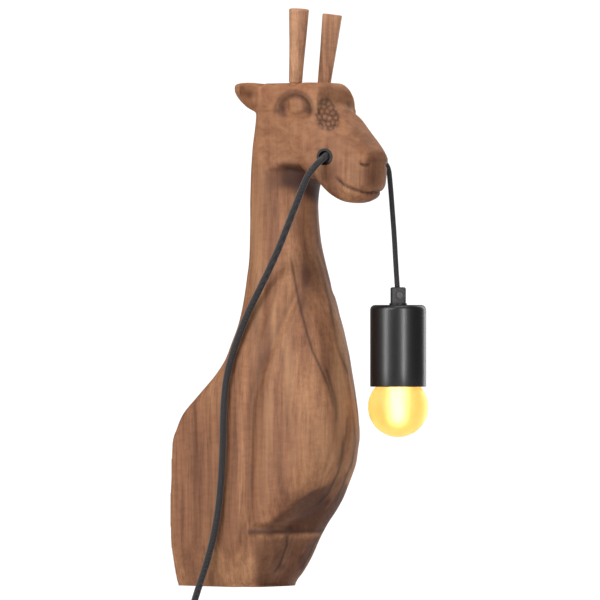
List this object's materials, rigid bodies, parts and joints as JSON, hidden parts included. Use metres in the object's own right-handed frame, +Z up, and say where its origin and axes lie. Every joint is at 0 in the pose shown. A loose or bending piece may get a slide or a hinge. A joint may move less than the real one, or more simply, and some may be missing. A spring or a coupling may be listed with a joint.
{
  "type": "carved giraffe wall lamp",
  "caption": "Hardwood giraffe bust for the wall, with peg horns and a flex through its muzzle that carries a hanging screw-in globe bulb and its holder.",
  "frame": {"origin": "middle of the flat back, on the wall plane", "axes": "+Y into the wall, +Z up, +X to the giraffe's left; it looks along -Y"},
  "size_m": [0.1695, 0.2471, 0.9116],
  "materials": {
    "body_wood": "oiled, satin",
    "horn_wood": "oiled, satin",
    "zinc_steel": "zinc plated",
    "black_rubber": "matt",
    "textile_flex": "braided textile",
    "switch_plastic": "gloss",
    "brass": "plain",
    "plug_plastic": "fine texture",
    "nickel": "nickel plated",
    "gloss_black_steel": "gloss enamel",
    "grip_plastic": "gloss",
    "socket_plastic": "moulded",
    "lead_insulation": "smooth",
    "amber_glass": "amber tinted, clear",
    "bulb_insulator_glass": "opaque black glass",
    "stem_glass": "clear",
    "filament_phosphor": "glowing phosphor coat"
  },
  "bodies": {
    "statue": {"carved_body": "body_wood", "horn_right": "horn_wood", "horn_left": "horn_wood", "hanger_plate": "zinc_steel", "hanger_screws": "zinc_steel", "grommet_near": "black_rubber", "grommet_far": "black_rubber", "flex_in_head": "textile_flex", "flex_exit_arc": "textile_flex", "flex_drop": "textile_flex", "flex_mid": "textile_flex", "flex_tail": "textile_flex", "flex_hank": "textile_flex", "hank_tie": "black_rubber", "switch_front": "switch_plastic", "switch_back": "switch_plastic", "switch_screws": "zinc_steel", "switch_contacts": "brass", "plug_body": "plug_plastic", "plug_pins": "nickel"},
    "flex_link": {"flex_link": "textile_flex"},
    "lampholder": {"pendant_flex": "textile_flex", "cord_grip": "grip_plastic", "cord_grip_screw": "grip_plastic", "threaded_nipple": "zinc_steel", "nipple_nut": "zinc_steel", "lamp_cup": "gloss_black_steel", "socket_core": "socket_plastic", "socket_shell": "brass", "centre_contact": "brass", "terminal_screws": "brass", "lamp_leads": "lead_insulation"},
    "bulb_slider": {"bulb_insulator": "bulb_insulator_glass", "bulb_contact": "nickel"},
    "bulb": {"bulb_cap": "nickel", "bulb_glass": "amber_glass", "bulb_stem": "stem_glass", "led_filaments": "filament_phosphor"},
    "rocker": {"switch_rocker": "switch_plastic"}
  },
  "joints": [
    {"name": "lamp_swing_out", "type": "hinge", "parent": "statue", "child": "flex_link", "pos_m": [0.048, -0.2088, 0.343], "axis": [0.8984, 0.4392, 0], "range_deg": [-28, 1.5]},
    {"name": "lamp_swing_side", "type": "hinge", "parent": "flex_link", "child": "lampholder", "pos_m": [0.0486, -0.2104, 0.321], "axis": [0.4392, -0.8984, 0], "range_deg": [-22, 22]},
    {"name": "bulb_out", "type": "slide", "parent": "lampholder", "child": "bulb_slider", "axis": [0, 0, -1], "range_m": [0, 0.0254]},
    {"name": "bulb_turn", "type": "hinge", "parent": "bulb_slider", "child": "bulb", "pos_m": [0.0522, -0.2157, 0.171], "axis": [0, 0, -1], "range_deg": [0, 2520]},
    {"name": "rocker_tilt", "type": "hinge", "parent": "statue", "child": "rocker", "pos_m": [-0.06, -0.0373, -0.131], "axis": [1, 0, 0], "range_deg": [0, 14]}
  ],
  "couplings": [
    {"joint": "bulb_turn", "follows": "bulb_out", "rad_per_m": 1731.4}
  ]
}
